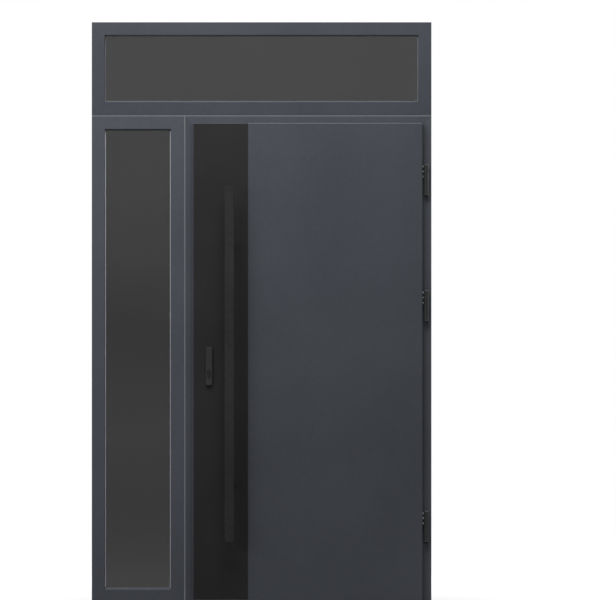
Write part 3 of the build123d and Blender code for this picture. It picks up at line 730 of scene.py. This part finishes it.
# %% Hinge caps, foot rings and bushes
CAP_PROFILE = (
    (0, 0.0008),
    (0.0052, 0.0008),
    (0.0074, 0),
    (0.0094, -0.0022),
    (0.0094, -0.0035),
    (0, -0.0035),
)
FOOT_PROFILE = ((0, 0), (0.0088, 0), (0.0093, -0.0005), (0.0093, -0.003), (0.009, -0.0034), (0, -0.0034))
BUSH_PROFILE = (
    (0, 0.0055),
    (0.0066, 0.0055),
    (0.0078, 0.0045),
    (0.0082, 0),
    (0.0082, -0.001),
    (0, -0.001),
)
# caps in paler zinc: partly painted highlight
form = turned(CAP_PROFILE, steps=32)
copy_to(form, [facing(place, (0, 0, 1)) for place in barrel_tops])
as_piece("hinge_top_caps", form, cap_zinc, "leaf")
form = turned(FOOT_PROFILE, steps=32)
copy_to(form, [facing(place, (0, 0, -1)) for place in barrel_feet])
as_piece("hinge_foot_rings", form, foot_zinc, "frame")
# black bushes: partly painted shadow under each barrel
form = turned(BUSH_PROFILE, steps=32)
copy_to(form, [facing(place, (0, 0, -1)) for place in barrel_feet])
as_piece("hinge_bushes", form, ring_black, "frame")

# %% Stud collars
STUD_DROPS = (0.0107, 0.0323, 0.0539)
COLLAR_RADIUS = 0.0055
COLLAR_LENGTH = 0.004
COLLAR_ROUND = 0.0006
leaf_edge_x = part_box("leaf_hinge_stile")[1][0]
form = bmesh.new()
bmesh.ops.create_cone(
    form, cap_ends=True, segments=6, radius1=COLLAR_RADIUS, radius2=COLLAR_RADIUS, depth=COLLAR_LENGTH
)
ends = [e for e in form.edges if abs(e.verts[0].co.z - e.verts[1].co.z) < MERGE_DISTANCE]
bmesh.ops.bevel(form, geom=ends, offset=COLLAR_ROUND, segments=2, profile=0.5, affect="EDGES", material=-1)
collar_places = [
    (leaf_edge_x + COLLAR_LENGTH / 2, axis_y, z + HINGE_LENGTH / 2 - drop)
    for z in HINGE_CENTRES
    for drop in STUD_DROPS
]
copy_to(form, [facing(place, (1, 0, 0)) for place in collar_places])
# pale collars: partly painted highlight of the lit stud tops
as_piece("stud_collars", form, collar_zinc, "leaf")

# %% [markdown]
# ## Anchor plugs, dust ring, foam pad and lever collar
#
# The frame is screwed to the wall through the hinge jamb. On the rebate side each hole is closed with a
# flat nylon plug, which only shows when the door is open. Outside, a dark rubber ring keeps dust out of
# the cylinder and shows as a dark circle with the paler plug in it; its darkness is partly a painted
# shadow of the narrow gap round the plug. A foam pad under the escutcheon closes the gap round the
# cylinder, so that no daylight shows through. On the inside a low round collar hides the place where the
# lever enters the backplate. The pad is a plate with rounded corners, and the others are turned.

# %% Anchor plugs
JAMB_FACE = 0.049
ANCHOR_MIDDLE = 1.041
ANCHOR_OFFSETS = (-0.83, -0.28, 0.28, 0.83)
PLUG_PROFILE = ((0, 0.0006), (0.0055, 0.0005), (0.0068, 0.0002), (0.007, -0.0004), (0, -0.0004))
rebate_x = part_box("door_frame_hinge_jamb")[1].x - JAMB_FACE
form = turned(PLUG_PROFILE, steps=24)
copy_to(form, [facing((rebate_x, edge_y, ANCHOR_MIDDLE + z), (-1, 0, 0)) for z in ANCHOR_OFFSETS])
as_piece("anchor_plugs", form, plug_nylon, "frame")

# %% Dust ring of the cylinder
CYLINDER_Z = 0.9866
RING_PROFILE = (
    (0.0042, 0),
    (0.0042, 0.0005),
    (0.0048, 0.0009),
    (0.0086, 0.0009),
    (0.0092, 0.0003),
    (0.0092, 0),
)
cylinder_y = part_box("lock_cylinder")[0].y
form = turned(RING_PROFILE + RING_PROFILE[:1], steps=40)
copy_to(form, [facing((back_x, cylinder_y, CYLINDER_Z), (0, -1, 0))])
# the ring's dark grey is partly a painted shadow of the gap round the plug
as_piece("cylinder_ring", form, ring_grey, "leaf")

# %% Foam pad behind the escutcheon
PAD_WIDTH, PAD_THICKNESS, PAD_HEIGHT = 0.022, 0.002, 0.044
PAD_ROUND = 0.006
PAD_DROP = 0.008
leaf_front_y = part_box("leaf_strip_panel")[0][1]
form = bmesh.new()
bmesh.ops.create_cube(form, size=1)
bmesh.ops.scale(form, verts=form.verts, vec=(PAD_WIDTH, PAD_THICKNESS, PAD_HEIGHT))
through = [e for e in form.edges if abs(e.verts[0].co.y - e.verts[1].co.y) > PAD_THICKNESS / 2]
bmesh.ops.bevel(form, geom=through, offset=PAD_ROUND, segments=4, profile=0.5, affect="EDGES", material=-1)
pad_place = (back_x, leaf_front_y - PAD_THICKNESS, CYLINDER_Z - PAD_DROP)
bmesh.ops.translate(form, verts=form.verts, vec=pad_place)
as_piece("escutcheon_pad", form, ring_black, "leaf")

# %% Lever collar
LEVER_AXIS_Z = 1.0786
LEVER_COLLAR_PROFILE = (
    (0, 0.0035),
    (0.0118, 0.0035),
    (0.0128, 0.0031),
    (0.0132, 0.0022),
    (0.0132, 0),
    (0, 0),
)
form = turned(LEVER_COLLAR_PROFILE, steps=40)
copy_to(form, [facing((back_x, back_high.y, LEVER_AXIS_Z), (0, 1, 0))])
as_piece("lever_collar", form, hardware_black, "leaf")

# %% [markdown]
# ## Floor, light and background
#
# The photograph is a cut-out on white. The world is white to the camera and to reflections, and a
# plain soft grey as a light. The floor is a pale matt sheet with the same trick: it takes the door's
# shadow as any floor does, and the white that is added to it only shows to the camera and in
# reflections. Less is added near the door, where the lamps light the sheet, so that the shadow shows,
# and more far off, where they don't reach.

# %% World
AMBIENT = 0.17
WHITE = linear("#ffffff")
scene.view_settings.view_transform = "Standard"


def seen_level(tree, light_level, seen_value):
    """A level that differs between rays that light the scene and rays that are looked along."""
    rays = add(tree, "ShaderNodeLightPath").outputs
    looked = rays["Is Camera Ray"]
    for kind in ("Is Glossy Ray", "Is Transmission Ray"):
        looked = add(tree, "ShaderNodeMath", {0: looked, 1: rays[kind]}, operation="MAXIMUM").outputs[0]
    levels = {"Value": looked, "To Min": light_level, "To Max": seen_value}
    return add(tree, "ShaderNodeMapRange", levels).outputs["Result"]


world = bpy.data.worlds.new("white_studio")
scene.world = world
world.use_nodes = True
sky = world.node_tree
sky.nodes.clear()
glow = add(sky, "ShaderNodeBackground", {"Color": WHITE, "Strength": seen_level(sky, AMBIENT, 1.0)})
add(sky, "ShaderNodeOutputWorld", {"Surface": glow.outputs["Background"]})
print("world lights at", AMBIENT)

# %% Floor
FLOOR_SIZE = 30.0
FLOOR_GREY = "#8c8c8c"
NEAR, FAR_OFF = 1.0, 4.0
NEAR_GLOW, FAR_GLOW = 0.72, 0.97
floor_mesh = bpy.data.meshes.new("floor")
form = bmesh.new()
bmesh.ops.create_grid(form, x_segments=1, y_segments=1, size=FLOOR_SIZE / 2)
form.to_mesh(floor_mesh)
form.free()
floor = bpy.data.objects.new("floor", floor_mesh)
scene.collection.objects.link(floor)
print("floor", FLOOR_SIZE, "m")

# %% Floor finish
floor_paint, tree = blank_material("floor_pale_matt")
place = add(tree, "ShaderNodeTexCoord").outputs["Object"]
distance = add(tree, "ShaderNodeVectorMath", {0: place}, operation="LENGTH").outputs["Value"]
floor_glow = add(
    tree,
    "ShaderNodeMapRange",
    {
        "Value": distance,
        "From Min": NEAR,
        "From Max": FAR_OFF,
        "To Min": NEAR_GLOW,
        "To Max": FAR_GLOW,
    },
).outputs["Result"]
white = add(tree, "ShaderNodeEmission", {"Color": WHITE, "Strength": seen_level(tree, 0.0, floor_glow)})
matt = add(tree, "ShaderNodeBsdfDiffuse", {"Color": linear(FLOOR_GREY)})
floor_look = add(tree, "ShaderNodeAddShader", {0: matt.outputs["BSDF"], 1: white.outputs["Emission"]})
add(tree, "ShaderNodeOutputMaterial", {"Surface": floor_look.outputs["Shader"]})
floor_mesh.materials.append(floor_paint)
print("floor glows", NEAR_GLOW, "near the door and", FAR_GLOW, "far off")

# %% [markdown]
# ## Lamps
#
# One large soft lamp hangs high in front: it brightens the upper edges and lets the lower half fall
# off. A weaker one stands far to the left, so that the pull bar and the escutcheon shade what lies to
# their right. One to the right and one behind stand out of reach of the front, and show the hinge side
# and the inside when the camera goes round.

# %% Lamps
LAMPS = (
    ("key", (-0.45, -1.8, 4.5), (0.0, -0.2, 1.2), (3.2, 1.8), 165.0),
    ("left_fill", (-5.2, -4.4, 2.6), (0.0, 0.0, 1.2), (2.4, 2.4), 110.0),
    ("right_fill", (4.2, 2.8, 2.4), (0.7, 0.0, 1.2), (2.0, 2.0), 100.0),
    ("back_fill", (0.4, 2.6, 4.0), (0.0, 0.1, 1.2), (3.2, 1.8), 110.0),
)


def soft_lamp(name, place, target, size, watts):
    """Hang a rectangular soft lamp at a place, facing a target."""
    light = bpy.data.lights.new(name, "AREA")
    light.shape = "RECTANGLE"
    light.size, light.size_y = size
    light.energy = watts
    lamp = bpy.data.objects.new(name, light)
    scene.collection.objects.link(lamp)
    aim = (Vector(target) - Vector(place)).to_track_quat("-Z", "Y")
    lamp.matrix_world = Matrix.Translation(place) @ aim.to_matrix().to_4x4()


for lamp_facts in LAMPS:
    soft_lamp(*lamp_facts)
print("hung", len(LAMPS), "lamps")
